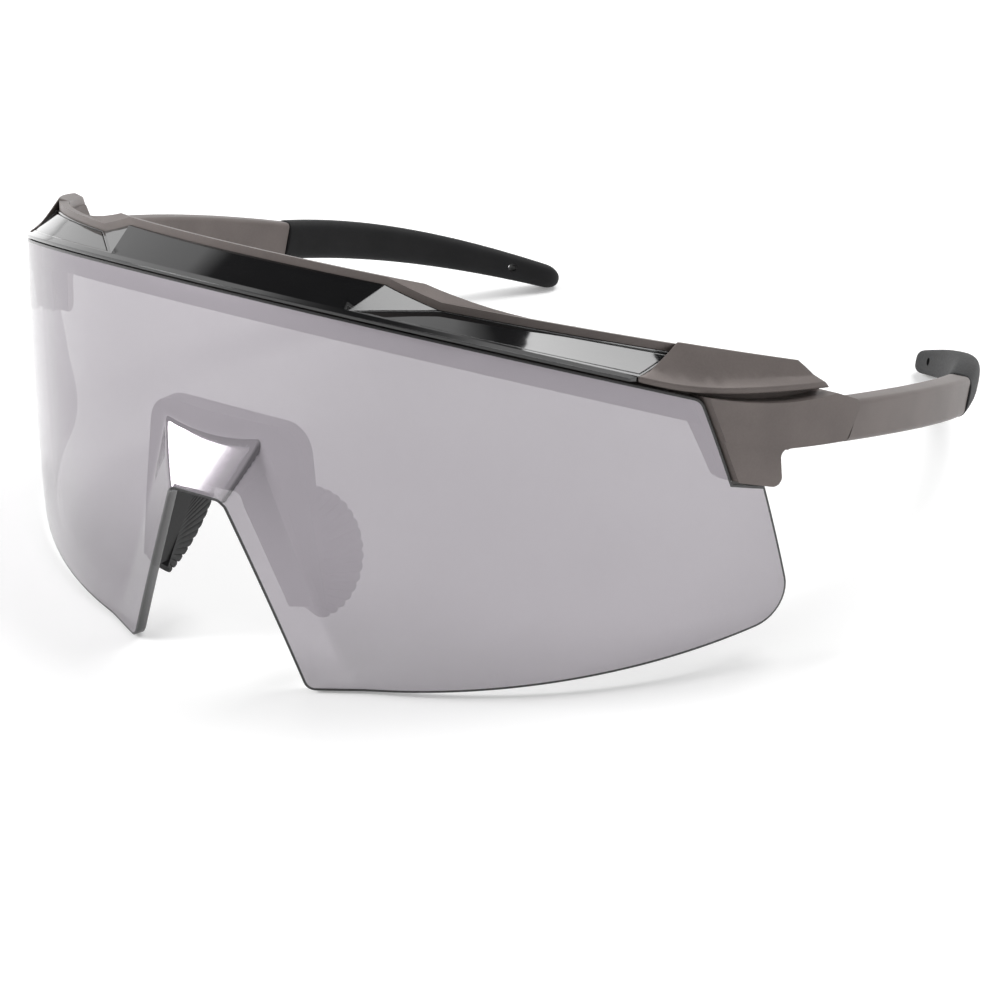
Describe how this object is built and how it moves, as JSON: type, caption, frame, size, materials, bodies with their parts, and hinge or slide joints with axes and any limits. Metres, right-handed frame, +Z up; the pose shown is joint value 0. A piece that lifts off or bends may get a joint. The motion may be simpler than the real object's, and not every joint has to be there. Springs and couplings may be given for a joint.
{
  "type": "shield sunglasses",
  "caption": "Wrap-around sports sunglasses with a one-piece mirrored shield lens under a faceted brow bar, rubber nose pads and folding temples with rubber tips.",
  "frame": {"origin": "bottom centre of the bounding box, on the surface the open glasses rest on", "axes": "+X to the wearer's left, +Y from the lens to the temple tips, +Z up as the glasses rest on a table"},
  "size_m": [0.148, 0.1548, 0.0634],
  "materials": {
    "frame_matte": "matte brown-grey gunmetal",
    "trim_gloss": "polished black",
    "lens_mirror": "silver mirror coat on clear grey polycarbonate",
    "nose_plastic": "matte black",
    "rubber_black": "soft matte black",
    "screw_steel": "plain steel"
  },
  "bodies": {
    "front": {"frame_front": "frame_matte", "brow_trim": "trim_gloss", "brow_panel_left": "trim_gloss", "brow_panel_right": "trim_gloss", "end_cover_left": "frame_matte", "end_cover_right": "frame_matte", "lens": "lens_mirror", "nose_bridge": "nose_plastic", "nose_pad_left": "rubber_black", "nose_pad_right": "rubber_black", "hinge_screw_left": "screw_steel", "hinge_screw_right": "screw_steel"},
    "temple_left": {"temple_arm_left": "frame_matte", "temple_tip_left": "rubber_black"},
    "temple_right": {"temple_arm_right": "frame_matte", "temple_tip_right": "rubber_black"}
  },
  "joints": [
    {"name": "left_temple_fold", "type": "hinge", "parent": "front", "child": "temple_left", "pos_m": [0.06962, -0.01682, 0.03136], "axis": [0, 0.3689, 0.9295], "range_deg": [0, 90]},
    {"name": "right_temple_fold", "type": "hinge", "parent": "front", "child": "temple_right", "pos_m": [-0.06962, -0.01682, 0.03136], "axis": [0, -0.3689, -0.9295], "range_deg": [0, 69]}
  ]
}
